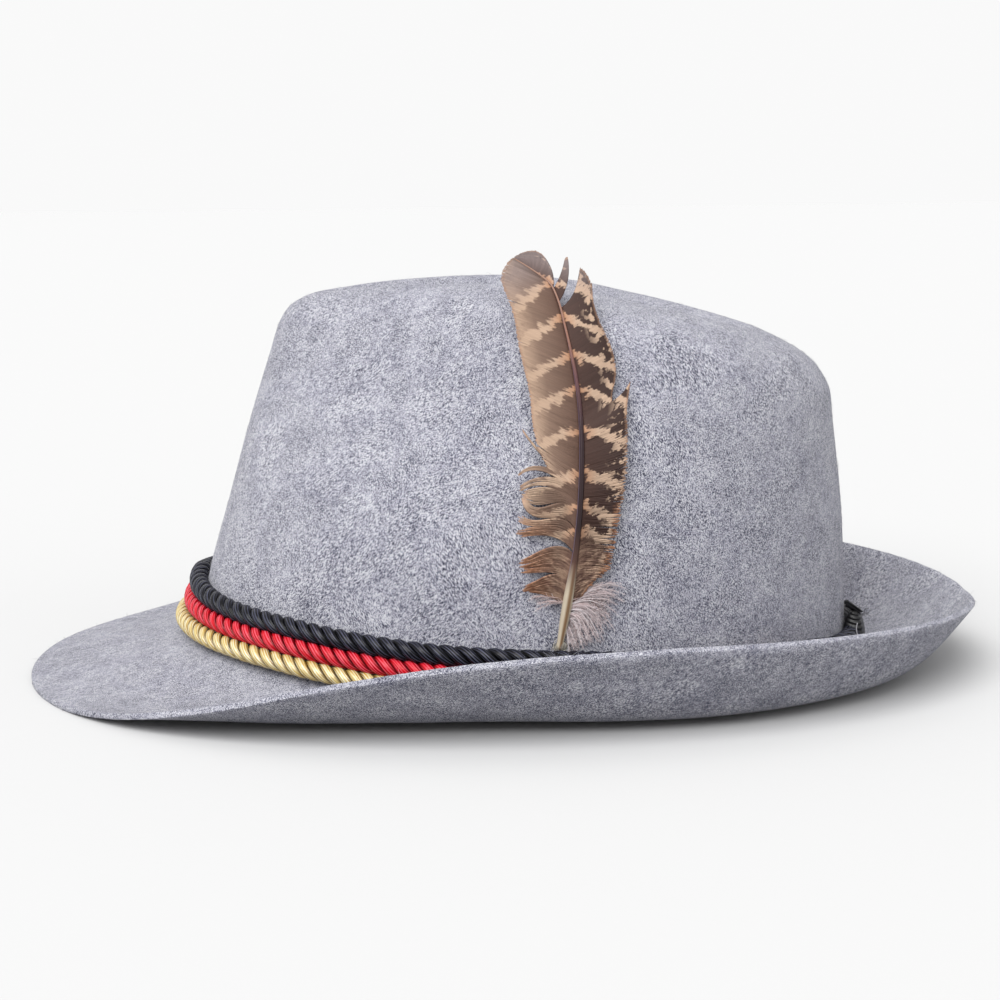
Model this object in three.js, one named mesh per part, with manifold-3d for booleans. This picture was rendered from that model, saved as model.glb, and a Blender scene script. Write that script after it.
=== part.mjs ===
// Tyrolean hat of blocked wool felt, with three twisted trim cords and a barred feather.
// Millimetres, +Z up. The hat rests on the plane z = 0: its front points to -X, and the
// wearer's left side, which carries the feather, to -Y. The origin is on that plane, under
// the middle of the brim. Angles go round the hat from the back, 0, past the side, 90, to
// the front, 180, and both sides of the felt are alike.

import * as THREE from "three";
import { mergeVertices } from "three/addons/utils/BufferGeometryUtils.js";
import Module from "manifold-3d";

// Driving dimensions of the felt.
const headLength = 208; // opening for the head, front to back
const headWidth = 166.4; // opening for the head, side to side
const feltThickness = 1.8;
const crownHeight = 123.5; // from the plane to the highest line of the crest
const crownSetBack = 6.8; // how far the crown's middle lies behind the brim's
const frontFootHeight = 12.3; // where crown and brim meet, at the front
const dentDepth = 23; // dent along the top of the crown
const dentSetBack = 6; // its lowest point, behind the brim's middle
const pinchDepth = 12; // hollow on each side near the front
const pinchAngle = 126;
const pinchSpread = 27;
const footRadius = 2.6; // soft corner between crown and brim
const brimLength = 303.6;
const brimWidth = 246;
const brimCurl = 28.1; // height of the rim where it curls up most
const brimFrontBluntness = 2.15; // exponent of the rim's front oval, 2 is an ellipse
const pressedFlat = 0.55; // felt that lies closer to the plane than this is pressed onto it

// Driving dimensions of the trim.
const cordDiameter = 5.4;
const trimClearance = 0.3; // between cord, felt, feather and the next cord
const bindingLength = 30; // binding over the cords' ends, at the back of the crown
const bindingWidth = 7.6; // out from the crown
const bindingHeight = 14;
const featherRise = 112; // height of the feather's tip above the foot of its quill
const featherSetBack = 15.7; // foot of the quill, behind the brim's middle
const quillDiameter = 3.2;
const shaftTipDiameter = 1.3;
const webReach = 16; // a web's widest part, out from the shaft
const webThickness = 1.2;
const webOverlap = 0.35; // how far a web runs past the middle of the shaft
const webCamber = 1.6; // how far a web's edge stands off towards the viewer

// Mesh fineness.
const felt = { around: 60 };
const cord = { sides: 8, steps: 76 };

// Sections of the hat at angles round it. footRise is a share of the front foot's rise,
// crestRise of the crown's rise and rimRise of the brim's curl, each above felt that lies
// flat. sag shapes how fast the brim falls away from the foot, and bend is the share of
// its reach at which it turns up.
const stations = [
  { angle: 0, footRise: 0.0, crestRise: 0.848, rimRise: 0.72, sag: 2.0, bend: 0.56 },
  { angle: 30, footRise: 0.03, crestRise: 0.885, rimRise: 0.84, sag: 2.2, bend: 0.68 },
  { angle: 60, footRise: 0.12, crestRise: 0.945, rimRise: 0.962, sag: 2.4, bend: 0.62 },
  { angle: 75, footRise: 0.18, crestRise: 0.979, rimRise: 1.0, sag: 2.2, bend: 0.5 },
  { angle: 90, footRise: 0.26, crestRise: 0.997, rimRise: 0.935, sag: 2.0, bend: 0.41 },
  { angle: 105, footRise: 0.42, crestRise: 1.0, rimRise: 0.69, sag: 2.8, bend: 0.46 },
  { angle: 120, footRise: 0.69, crestRise: 0.997, rimRise: 0.35, sag: 3.3, bend: 0.58 },
  { angle: 135, footRise: 0.96, crestRise: 0.99, rimRise: 0.1, sag: 2.9, bend: 0.6 },
  { angle: 150, footRise: 1.08, crestRise: 0.98, rimRise: 0.0, sag: 1.8, bend: 0.4 },
  { angle: 180, footRise: 1.06, crestRise: 0.967, rimRise: 0.0, sag: 1.05, bend: 0.1 },
];

// Where the cords lie at angles round the hat: how far each one's middle is out from
// touching the crown, in cord diameters.
const cordLay = [
  { angle: 0, gold: 0.8, red: 0.0, black: 0.45 },
  { angle: 15, gold: 0.75, red: 0.0, black: 0.42 },
  { angle: 40, gold: 0.25, red: 0.05, black: 0.0 },
  { angle: 90, gold: 0.2, red: 0.06, black: 0.0 },
  { angle: 120, gold: 0.31, red: 0.09, black: 0.0 },
  { angle: 150, gold: 0.43, red: 0.13, black: 0.0 },
  { angle: 180, gold: 0.45, red: 0.13, black: 0.0 },
];

// Sections of the crown from foot to crest. front and back are shares of half its length,
// side of half its width, taper narrows its front and widens its back, and pinch is a share
// of the pinch's depth.
const crownSections = [
  { rise: 0.0, front: 1.0, back: 1.0, side: 1.0, taper: 0.02, pinch: 0.0 },
  { rise: 0.2, front: 0.952, back: 0.99, side: 0.993, taper: 0.03, pinch: 0.0 },
  { rise: 0.38, front: 0.897, back: 0.985, side: 0.98, taper: 0.05, pinch: 0.05 },
  { rise: 0.56, front: 0.845, back: 0.97, side: 0.955, taper: 0.1, pinch: 0.45 },
  { rise: 0.72, front: 0.795, back: 0.95, side: 0.91, taper: 0.17, pinch: 0.95 },
  { rise: 0.84, front: 0.755, back: 0.935, side: 0.85, taper: 0.24, pinch: 1.0 },
  { rise: 0.92, front: 0.727, back: 0.882, side: 0.775, taper: 0.29, pinch: 0.8 },
  { rise: 0.97, front: 0.69, back: 0.812, side: 0.69, taper: 0.33, pinch: 0.55 },
  { rise: 1.0, front: 0.62, back: 0.74, side: 0.55, taper: 0.36, pinch: 0.35 },
];

// The dent, from the crest inwards: along and across are shares of the crest's own oval,
// fall a share of the way down to the dent's floor.
const dentSections = [
  { along: 0.9, across: 0.8, fall: 0.09 },
  { along: 0.79, across: 0.58, fall: 0.34 },
  { along: 0.68, across: 0.36, fall: 0.68 },
  { along: 0.54, across: 0.17, fall: 0.91 },
  { along: 0.3, across: 0.07, fall: 0.99 },
];

// Rings of the felt: shares of the brim's reach from the rim inwards, then shares of the
// crown's rise.
const brimRings = [1.0, 0.93, 0.84, 0.74, 0.63, 0.52, 0.41, 0.29, 0.17];
const crownRings = [0.1, 0.2, 0.31, 0.43, 0.55, 0.66, 0.75, 0.83, 0.89, 0.93, 0.97, 1.0];

// The shaft of the feather: rise and shift to the back are shares of the feather's rise.
const shaftSections = [
  { rise: 0.0, shift: 0.0 },
  { rise: 0.05, shift: 0.013 },
  { rise: 0.13, shift: 0.024 },
  { rise: 0.2, shift: 0.045 },
  { rise: 0.25, shift: 0.055 },
  { rise: 0.34, shift: 0.062 },
  { rise: 0.47, shift: 0.07 },
  { rise: 0.54, shift: 0.071 },
  { rise: 0.61, shift: 0.068 },
  { rise: 0.68, shift: 0.06 },
  { rise: 0.77, shift: 0.043 },
  { rise: 0.82, shift: 0.032 },
  { rise: 0.87, shift: 0.014 },
  { rise: 0.93, shift: -0.008 },
  { rise: 0.965, shift: -0.05 },
];

// Edges of the webs. root is where the barbs leave the shaft, a share of the feather's
// rise, reach how far out they end, a share of the web's reach, and climb how much higher
// they end, a share of the feather's rise. Short rows between long ones are the splits.
const frontWeb = [
  { root: 0.115, reach: 0.3, climb: 0.01 },
  { root: 0.135, reach: 0.78, climb: 0.022 },
  { root: 0.159, reach: 0.42, climb: 0.025 },
  { root: 0.193, reach: 0.93, climb: 0.024 },
  { root: 0.236, reach: 0.25, climb: 0.02 },
  { root: 0.262, reach: 1.05, climb: 0.03 },
  { root: 0.306, reach: 1.09, climb: 0.031 },
  { root: 0.343, reach: 1.04, climb: 0.037 },
  { root: 0.381, reach: 1.11, climb: 0.057 },
  { root: 0.426, reach: 0.73, climb: 0.055 },
  { root: 0.493, reach: 0.86, climb: 0.063 },
  { root: 0.568, reach: 0.92, climb: 0.071 },
  { root: 0.638, reach: 1.0, climb: 0.074 },
  { root: 0.718, reach: 1.02, climb: 0.072 },
  { root: 0.807, reach: 1.07, climb: 0.08 },
  { root: 0.875, reach: 1.0, climb: 0.067 },
  { root: 0.92, reach: 0.72, climb: 0.07 },
  { root: 0.945, reach: 0.3, climb: 0.06 },
];
const backWeb = [
  { root: 0.115, reach: 0.12, climb: 0.0 },
  { root: 0.15, reach: 0.45, climb: 0.015 },
  { root: 0.205, reach: 0.62, climb: 0.01 },
  { root: 0.256, reach: 0.71, climb: 0.037 },
  { root: 0.356, reach: 0.81, climb: 0.052 },
  { root: 0.418, reach: 0.83, climb: 0.061 },
  { root: 0.518, reach: 0.8, climb: 0.076 },
  { root: 0.556, reach: 0.87, climb: 0.079 },
  { root: 0.58, reach: 0.57, climb: 0.059 },
  { root: 0.643, reach: 0.68, climb: 0.067 },
  { root: 0.701, reach: 0.58, climb: 0.079 },
  { root: 0.756, reach: 0.52, climb: 0.093 },
  { root: 0.805, reach: 0.54, climb: 0.098 },
  { root: 0.845, reach: 0.38, climb: 0.11 },
  { root: 0.868, reach: 0.16, climb: 0.02 },
  { root: 0.893, reach: 0.22, climb: 0.09 },
  { root: 0.92, reach: 0.1, climb: 0.02 },
];
const downTuft = [
  { root: 0.05, reach: 0.2, climb: -0.03 },
  { root: 0.058, reach: 0.5, climb: -0.04 },
  { root: 0.07, reach: 0.8, climb: -0.03 },
  { root: 0.085, reach: 0.9, climb: -0.008 },
  { root: 0.1, reach: 1.03, climb: 0.02 },
  { root: 0.116, reach: 1.0, climb: 0.035 },
  { root: 0.128, reach: 0.5, climb: 0.02 },
];

const degrees = Math.PI / 180;
const clamp = (value, low, high) => Math.min(Math.max(value, low), high);

// Smooth reading of a table: the value of column where key reaches at.
function read(rows, key, at, column) {
  const last = rows.length - 1;
  const x = clamp(at, rows[0][key], rows[last][key]);
  let i = 0;
  while (i < last - 1 && x > rows[i + 1][key]) i += 1;
  const slope = (j) => {
    const low = rows[Math.max(j - 1, 0)];
    const high = rows[Math.min(j + 1, last)];
    return (high[column] - low[column]) / (high[key] - low[key]);
  };
  const width = rows[i + 1][key] - rows[i][key];
  const t = (x - rows[i][key]) / width;
  const rise = t * t * (3 - 2 * t);
  const leave = slope(i) * width * t * (1 - t) * (1 - t);
  const arrive = -slope(i + 1) * width * t * t * (1 - t);
  return rows[i][column] * (1 - rise) + rows[i + 1][column] * rise + leave + arrive;
}

const folded = (angle) => (angle > 180 ? 360 - angle : angle);
const station = (angle, column) => read(stations, "angle", folded(angle), column);

const halfLength = headLength / 2 + feltThickness;
const halfWidth = headWidth / 2 + feltThickness;
const flatLevel = feltThickness;

const footHeight = (angle) =>
  flatLevel + (frontFootHeight - flatLevel) * station(angle, "footRise");
const crestHeight = (angle) =>
  flatLevel + (crownHeight - flatLevel) * station(angle, "crestRise");
const rimHeight = (angle) =>
  flatLevel + (brimCurl - flatLevel) * station(angle, "rimRise");

// Point on the crown's outer side, rise being the share of the way from foot to crest.
function crownPoint(angle, rise) {
  const cos = Math.cos(angle * degrees);
  const sin = Math.sin(angle * degrees);
  const section = (column) => read(crownSections, "rise", rise, column);
  const along = cos < 0 ? section("front") : section("back");
  const wide = halfWidth * section("side") * (1 + section("taper") * cos);
  const offset = (folded(angle) - pinchAngle) / pinchSpread;
  const pinch = pinchDepth * section("pinch") * Math.exp((-offset * offset) / 2);
  const foot = footHeight(angle);
  const height = foot + (crestHeight(angle) - foot) * rise;
  const y = wide * sin - pinch * Math.sign(sin) * Math.min(1, Math.abs(sin) * 2);
  return new THREE.Vector3(crownSetBack + halfLength * along * cos, y, height);
}

// Point on the rim of the brim, in plan.
function rimPoint(angle) {
  const cos = Math.cos(angle * degrees);
  const sin = Math.sin(angle * degrees);
  const power = cos < 0 ? 2 / brimFrontBluntness : 1;
  const x = (brimLength / 2) * Math.sign(cos) * Math.abs(cos) ** power;
  const y = (brimWidth / 2) * Math.sign(sin) * Math.abs(sin) ** power;
  return new THREE.Vector3(x, y, 0);
}

// Point on the brim's upper side, reach being the share of the way from foot to rim.
function brimPoint(angle, reach) {
  const softness = 0.2;
  const bend = station(angle, "bend");
  const ramp = (at) => (at - bend + Math.hypot(at - bend, softness)) / 2;
  const curl = (ramp(reach) - ramp(0)) / (ramp(1) - ramp(0));
  const fall = (1 - reach) ** station(angle, "sag");
  const foot = footHeight(angle) - flatLevel;
  const rim = rimHeight(angle) - flatLevel;
  const point = crownPoint(angle, 0).lerp(rimPoint(angle), reach);
  point.z = flatLevel + foot * fall + rim * curl;
  return point;
}

// The felt's upper and outer side as rings of points, from the rim to the dent.
function feltRings() {
  const angles = Array.from({ length: felt.around }, (_, i) => (360 * i) / felt.around);
  const ring = (pointAt) => angles.map(pointAt);
  const brimStep = (angle) => {
    const reach = rimPoint(angle).distanceTo(crownPoint(angle, 0).setZ(0));
    return footRadius / reach;
  };
  const crownStep = (angle) => footRadius / (crestHeight(angle) - footHeight(angle));
  const cornerPull = 0.3;
  const cornerPoint = (angle) => {
    const corner = crownPoint(angle, 0);
    const chord = brimPoint(angle, brimStep(angle)).lerp(crownPoint(angle, crownStep(angle)), 0.5);
    return corner.lerp(chord, 2 * cornerPull);
  };
  const rings = brimRings.map((reach) => ring((angle) => brimPoint(angle, reach)));
  rings.push(ring((angle) => brimPoint(angle, brimStep(angle))));
  rings.push(ring(cornerPoint));
  rings.push(ring((angle) => crownPoint(angle, crownStep(angle))));
  rings.push(...crownRings.map((rise) => ring((angle) => crownPoint(angle, rise))));
  const floor = crownHeight - dentDepth;
  for (const { along, across, fall } of dentSections) {
    rings.push(
      ring((angle) => {
        const crest = crownPoint(angle, 1);
        const x = dentSetBack + (crest.x - dentSetBack) * along;
        return new THREE.Vector3(x, crest.y * across, crest.z + (floor - crest.z) * fall);
      }),
    );
  }
  return { rings, centre: new THREE.Vector3(dentSetBack, 0, floor) };
}

// Unit normal of the rings' surface at one point, on its upper and outer side.
function feltNormal(rings, centre, i, j) {
  const around = rings[i].length;
  const inner = i + 1 < rings.length ? rings[i + 1][j] : centre;
  const outer = rings[Math.max(i - 1, 0)][j];
  const inwards = inner.clone().sub(outer);
  const along = rings[i][(j + 1) % around].clone().sub(rings[i][(j + around - 1) % around]);
  return along.cross(inwards).normalize();
}

// Closed shell of felt: the outer side, the inner side one thickness below it, and the cut
// edge of the rim between them.
function feltGeometry() {
  const { rings, centre } = feltRings();
  const inside = rings.map((ring, i) =>
    ring.map((point, j) => {
      const step = feltNormal(rings, centre, i, j).multiplyScalar(-feltThickness);
      const moved = point.clone().add(step);
      if (moved.z < pressedFlat) moved.z = 0;
      return moved;
    }),
  );
  const insideCentre = centre.clone().setZ(centre.z - feltThickness);
  const around = felt.around;
  const points = [...rings.flat(), centre, ...inside.flat(), insideCentre];
  const half = rings.length * around + 1;
  const faces = [];
  const quad = (a, b, c, d) => faces.push(a, b, c, a, c, d);
  for (let j = 0; j < around; j += 1) {
    const k = (j + 1) % around;
    for (let i = 0; i + 1 < rings.length; i += 1) {
      const [low, high] = [i * around, (i + 1) * around];
      quad(low + j, low + k, high + k, high + j);
      quad(half + low + k, half + low + j, half + high + j, half + high + k);
    }
    const top = (rings.length - 1) * around;
    faces.push(top + j, top + k, half - 1);
    faces.push(half + top + k, half + top + j, half + half - 1);
    quad(half + j, half + k, k, j);
  }
  const geometry = new THREE.BufferGeometry().setFromPoints(points);
  geometry.setIndex(faces);
  geometry.computeVertexNormals();
  return geometry;
}

// Point of a cord's middle line: it lies clear of the crown by out, at the given height.
function besideCrown(angle, height, out) {
  const foot = footHeight(angle);
  const riseAt = (turn) => {
    const low = footHeight(turn);
    return clamp((height - low) / (crestHeight(turn) - low), 0, 1);
  };
  const rise = (height - foot) / (crestHeight(angle) - foot);
  const point = crownPoint(angle, clamp(rise, 0, 1));
  const step = 1;
  const ahead = crownPoint(angle + step, riseAt(angle + step));
  const behind = crownPoint(angle - step, riseAt(angle - step));
  const tangent = ahead.sub(behind).setZ(0).normalize();
  return new THREE.Vector3(point.x + tangent.y * out, point.y - tangent.x * out, height);
}

// The three cords are stacked up the crown from the brim: place 0 is the lowest.
const cordNames = ["gold", "red", "black"];
function cordPoint(angle, place) {
  const touching = cordDiameter + trimClearance;
  const lay = (name) => cordDiameter * Math.max(0, read(cordLay, "angle", folded(angle), name));
  const outs = cordNames.map(lay);
  let height = footHeight(angle) + cordDiameter / 2 + trimClearance;
  for (let i = 1; i <= place; i += 1) {
    const slant = outs[i - 1] - outs[i];
    height += Math.sqrt(touching * touching - slant * slant);
  }
  return besideCrown(angle, height, cordDiameter / 2 + trimClearance + outs[place]);
}

function roundSection(diameter, sides) {
  const corners = Array.from({ length: sides }, (_, i) => {
    const turn = (2 * Math.PI * (i + 0.5)) / sides;
    return new THREE.Vector2(Math.cos(turn), Math.sin(turn)).multiplyScalar(diameter / 2);
  });
  return new THREE.Shape(corners);
}

// Half the angle round the hat that a length at the back of the crown takes up.
const backRadius = halfWidth ** 2 / halfLength;
const halfAngleOf = (length) => length / 2 / backRadius / degrees;

function cordGeometry(place) {
  const routePoints = 60;
  const endAngle = halfAngleOf(bindingLength + 2 * trimClearance);
  const route = Array.from({ length: routePoints }, (_, i) => {
    const share = i / (routePoints - 1);
    return cordPoint(endAngle + (360 - 2 * endAngle) * share, place);
  });
  return new THREE.ExtrudeGeometry(roundSection(cordDiameter, cord.sides), {
    steps: cord.steps,
    bevelEnabled: false,
    extrudePath: new THREE.CatmullRomCurve3(route),
  });
}

// The binding in which the cords end, an oval that follows the back of the crown.
function bindingGeometry() {
  const sides = 12;
  const steps = 8;
  const half = halfAngleOf(bindingLength);
  const middle = flatLevel + trimClearance + bindingHeight / 2;
  const rings = Array.from({ length: steps + 1 }, (_, i) => {
    const angle = half * ((2 * i) / steps - 1);
    return Array.from({ length: sides }, (_, j) => {
      const turn = (-2 * Math.PI * j) / sides;
      const out = trimClearance + (bindingWidth / 2) * (1 + Math.cos(turn));
      const height = middle + (bindingHeight / 2) * Math.sin(turn);
      const point = besideCrown(angle, middle, out);
      return point.setZ(height);
    });
  });
  return loft(rings);
}

// Distance of the crown's outer side from the middle plane, beside the feather.
function crownSide(x, height) {
  let angle = 270;
  for (let i = 0; i < 4; i += 1) {
    const foot = footHeight(angle);
    const rise = clamp((height - foot) / (crestHeight(angle) - foot), 0, 1);
    const share = read(crownSections, "rise", rise, x < crownSetBack ? "front" : "back");
    const cos = clamp((x - crownSetBack) / (halfLength * share), -0.95, 0.95);
    angle = 360 - Math.acos(cos) / degrees;
  }
  const foot = footHeight(angle);
  const rise = clamp((height - foot) / (crestHeight(angle) - foot), 0, 1);
  return Math.abs(crownPoint(angle, rise).y);
}

// The feather's shaft leans on the crown up to leaning and then goes on straight.
const featherAngle = 360 - Math.acos((featherSetBack - crownSetBack) / halfLength) / degrees;
const featherFoot = cordPoint(featherAngle, 2).z + cordDiameter / 2 + trimClearance;
const leaning = 0.62;
function shaftPoint(rise) {
  const x = featherSetBack + featherRise * read(shaftSections, "rise", rise, "shift");
  const height = featherFoot + featherRise * rise;
  const rest = quillDiameter / 2 + trimClearance;
  const top = featherFoot + featherRise * leaning;
  const low = featherFoot + featherRise * (leaning - 0.2);
  const slope = (crownSide(x, top) - crownSide(x, low)) / (top - low);
  const side = height < top ? crownSide(x, height) : crownSide(x, top) + slope * (height - top);
  return new THREE.Vector3(x, -side - rest, height);
}

const wasm = await Module();
wasm.setup();

// A closed body from rings of points with equal counts, capped at both ends.
function loft(rings) {
  const count = rings[0].length;
  const faces = [];
  for (let i = 0; i + 1 < rings.length; i += 1) {
    for (let j = 0; j < count; j += 1) {
      const k = (j + 1) % count;
      const [a, b] = [i * count + j, i * count + k];
      faces.push(a, b, b + count, a, b + count, a + count);
    }
  }
  const end = (rings.length - 1) * count;
  for (let j = 1; j + 1 < count; j += 1) {
    faces.push(0, j + 1, j);
    faces.push(end, end + j, end + j + 1);
  }
  const geometry = new THREE.BufferGeometry().setFromPoints(rings.flat());
  geometry.setIndex(faces);
  return geometry;
}

function solid(geometry) {
  const merged = mergeVertices(new THREE.BufferGeometry()
    .setAttribute("position", geometry.getAttribute("position"))
    .setIndex(geometry.getIndex()));
  return new wasm.Manifold(new wasm.Mesh({
    numProp: 3,
    vertProperties: merged.attributes.position.array,
    triVerts: new Uint32Array(merged.index.array),
  }));
}

function geometryOf(body) {
  const mesh = body.getMesh();
  const geometry = new THREE.BufferGeometry();
  geometry.setAttribute("position", new THREE.BufferAttribute(mesh.vertProperties, 3));
  geometry.setIndex(new THREE.BufferAttribute(mesh.triVerts, 1));
  geometry.computeVertexNormals();
  return geometry;
}

// The quill and shaft, round and thinner towards the tip.
function shaftGeometry() {
  const sides = 6;
  const rings = shaftSections.map(({ rise }) => {
    const radius = (quillDiameter + (shaftTipDiameter - quillDiameter) * rise) / 2;
    const middle = shaftPoint(rise);
    return Array.from({ length: sides }, (_, j) => {
      const turn = (2 * Math.PI * j) / sides;
      const aside = new THREE.Vector3(Math.cos(turn), Math.sin(turn), 0);
      return middle.clone().addScaledVector(aside, radius);
    });
  });
  return loft(rings);
}

// A web of the feather as a thin plate: every row of barbs is a section of four corners
// at the shaft, the middle and the edge. side is -1 towards the front of the hat and 1
// towards its back.
function webGeometry(rows, side) {
  const shares = [0, 0.5, 1];
  const rings = rows.map(({ root, reach, climb }) => {
    const start = shaftPoint(root);
    const plate = shares.map((share) => {
      const x = start.x + side * (webReach * reach * share - webOverlap * (1 - share));
      const height = start.z + featherRise * climb * share;
      const wall = height < crownHeight ? crownSide(x, height) : 0;
      const clear = wall + trimClearance + webThickness / 2;
      const stand = Math.max(-shaftPoint((height - featherFoot) / featherRise).y, clear);
      return new THREE.Vector3(x, -stand - webCamber * reach * share * share, height);
    });
    const thick = new THREE.Vector3(0, webThickness / 2, 0);
    const near = plate.map((point) => point.clone().sub(thick));
    const far = plate.map((point) => point.clone().add(thick));
    const outline = [...near, ...far.reverse()];
    return side > 0 ? outline : outline.reverse();
  });
  return loft(rings);
}

function featherGeometry() {
  const parts = [
    shaftGeometry(),
    webGeometry(frontWeb, -1),
    webGeometry(backWeb, 1),
    webGeometry(downTuft, 1),
  ];
  const fused = parts.map(solid).reduce((whole, part) => whole.add(part));
  return geometryOf(fused);
}

const finish = (color, roughness) =>
  new THREE.MeshStandardMaterial({ color, roughness, metalness: 0 });

function part(name, geometry, material) {
  const mesh = new THREE.Mesh(geometry, material);
  mesh.name = name;
  return mesh;
}

const hat = new THREE.Group();
hat.name = "tyrolean_hat";
hat.add(part("felt_body", feltGeometry(), finish(0xaaaab4, 0.95)));

const trim = new THREE.Group();
trim.add(part("cord_gold", cordGeometry(0), finish(0xdcbe6a, 0.4)));
trim.add(part("cord_red", cordGeometry(1), finish(0xc8162c, 0.4)));
trim.add(part("cord_black", cordGeometry(2), finish(0x17171d, 0.4)));
trim.add(part("cord_binding", bindingGeometry(), finish(0x141418, 0.7)));
trim.add(part("feather", featherGeometry(), finish(0x6b4a3c, 0.7)));
hat.add(trim);

export default hat;
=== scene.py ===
# Dressed model of a tyrolean hat: marled wool felt, three twisted satin cords, the ribbed
# wrap that holds their ends and a barred feather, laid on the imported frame. The forms are
# worked out in millimetres, with +Z up and the hat's front to -X, and turned into metres
# when a piece is made. Angles go round the hat from the back, 0, past the side, 90, to the
# front, 180.

import bpy
import numpy as np
from mathutils import Matrix, Vector


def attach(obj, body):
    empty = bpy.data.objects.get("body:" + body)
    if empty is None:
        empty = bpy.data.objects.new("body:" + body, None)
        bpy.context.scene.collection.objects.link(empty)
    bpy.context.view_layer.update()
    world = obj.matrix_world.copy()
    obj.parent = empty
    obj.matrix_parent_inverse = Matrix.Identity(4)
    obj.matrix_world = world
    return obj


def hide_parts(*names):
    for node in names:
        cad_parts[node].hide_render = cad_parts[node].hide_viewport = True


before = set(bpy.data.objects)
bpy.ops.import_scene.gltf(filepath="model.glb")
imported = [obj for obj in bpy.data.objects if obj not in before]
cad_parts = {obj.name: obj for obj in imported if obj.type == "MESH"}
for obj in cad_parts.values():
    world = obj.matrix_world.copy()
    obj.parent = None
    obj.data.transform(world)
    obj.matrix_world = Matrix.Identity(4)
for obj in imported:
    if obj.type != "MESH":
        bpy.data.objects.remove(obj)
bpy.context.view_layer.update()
rng = np.random.default_rng(11)
MM = 0.001
STUDIO_LIGHT = 2.0  # light that a white surface facing the camera gives back, 1 being white

# Felt.
HEAD_LENGTH = 208
HEAD_WIDTH = 166.4
FELT_THICKNESS = 1.8
CROWN_HEIGHT = 123.5
CROWN_SET_BACK = 6.8
FRONT_FOOT_HEIGHT = 12.3
DENT_DEPTH = 23
DENT_SET_BACK = 6
PINCH_DEPTH = 12
PINCH_ANGLE = 126
PINCH_SPREAD = 27
FOOT_RADIUS = 2.6
BRIM_LENGTH = 303.6
BRIM_WIDTH = 246
BRIM_CURL = 28.1
BRIM_FRONT_BLUNTNESS = 2.15

# Trim.
CORD_DIAMETER = 5.4
TRIM_CLEARANCE = 0.3
BINDING_FAR_END = 14
BINDING_NEAR_END = 15.5
BINDING_WIDTH = 6.0
BINDING_HEIGHT = 15.6
QUILL_DIAMETER = 3.2
WEB_REACH = 16
WEB_THICKNESS = 1.2
WEB_CAMBER = 1.6

# Camera, and the photograph's own pixels, which the feather is laid out in.
CAMERA_DISTANCE = 650
CAMERA_ELEVATION = np.radians(8.5)
CAMERA_TILT = np.radians(0.6)
CAMERA_AIM = 51.7
CAMERA_LENS = 71.6
CAMERA_SENSOR = 36
PHOTO_SIZE = 1000
FOCAL = PHOTO_SIZE * CAMERA_LENS / CAMERA_SENSOR
PIXELS_PER_MM = 3.5  # at the feather
TO_VIEWER = np.array([0.0, -1.0, 0.0])
UPRIGHT = np.array([0.0, 0.0, 1.0])
QUILL_FOOT = 649.0  # rows of the photograph
SHAFT_TIP = 258.5

HALF_LENGTH = HEAD_LENGTH / 2 + FELT_THICKNESS
HALF_WIDTH = HEAD_WIDTH / 2 + FELT_THICKNESS
FLAT_LEVEL = FELT_THICKNESS


# Smooth tables


def smooth(key, values, at):
    """Values at points between the rows of a table, on cubic pieces through them."""
    at = np.asarray(at, float)
    last = len(key) - 1
    rows = np.arange(last + 1)
    below = np.maximum(rows - 1, 0)
    above = np.minimum(rows + 1, last)
    extra = (1,) * (values.ndim - 1)
    slopes = (values[above] - values[below]) / (key[above] - key[below]).reshape(-1, *extra)
    x = np.clip(at, key[0], key[-1])
    i = np.clip(np.searchsorted(key, x) - 1, 0, last - 1)
    width = (key[i + 1] - key[i]).reshape(at.shape + extra)
    t = (x - key[i]).reshape(at.shape + extra) / width
    rise = t * t * (3 - 2 * t)
    leave = slopes[i] * width * t * (1 - t) ** 2
    arrive = -slopes[i + 1] * width * t * t * (1 - t)
    return values[i] * (1 - rise) + values[i + 1] * rise + leave + arrive


class Table:
    """A table whose first row has its names, and whose first column is the key that the
    others are read at."""

    def __init__(self, text):
        names, *rows = [line.split() for line in text.strip().splitlines()]
        self.key, *columns = np.array(rows, float).T
        self.columns = dict(zip(names[1:], columns))

    def read(self, name, at):
        return smooth(self.key, self.columns[name], at)


STATIONS = Table("""
angle foot_rise crest_rise rim_rise sag bend
0 0.0 0.848 0.72 2.0 0.56
30 0.03 0.885 0.84 2.2 0.68
60 0.12 0.945 0.962 2.4 0.62
75 0.18 0.979 1.0 2.2 0.5
90 0.26 0.997 0.935 2.0 0.41
105 0.42 1.0 0.69 2.8 0.46
120 0.69 0.997 0.35 3.3 0.58
135 0.96 0.99 0.1 2.9 0.6
150 1.08 0.98 0.0 1.8 0.4
180 1.06 0.967 0.0 1.05 0.1
""")
CORD_LAY = Table("""
angle gold red black gather lift
0 0.05 0.0 0.0 0.58 0.0
28 0.1 0.0 0.0 0.55 0.0
42 0.55 0.0 0.5 0.9 0.0
60 0.4 0.03 0.3 0.9 0.0
90 0.2 0.06 0.0 0.97 0.0
120 0.31 0.09 0.0 0.92 -0.06
145 0.42 0.13 0.0 0.9 -0.1
165 0.44 0.13 0.0 0.98 0.12
180 0.45 0.13 0.0 1.08 0.3
""")
CROWN = Table("""
rise front back side taper pinch
0.0 1.0 1.0 1.0 0.02 0.0
0.2 0.952 0.99 0.993 0.03 0.0
0.38 0.897 0.985 0.98 0.05 0.05
0.56 0.845 0.97 0.955 0.1 0.45
0.72 0.795 0.95 0.91 0.17 0.95
0.84 0.755 0.935 0.85 0.24 1.0
0.92 0.727 0.882 0.775 0.29 0.8
0.97 0.69 0.812 0.69 0.33 0.55
1.0 0.62 0.74 0.55 0.36 0.35
""")
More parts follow.
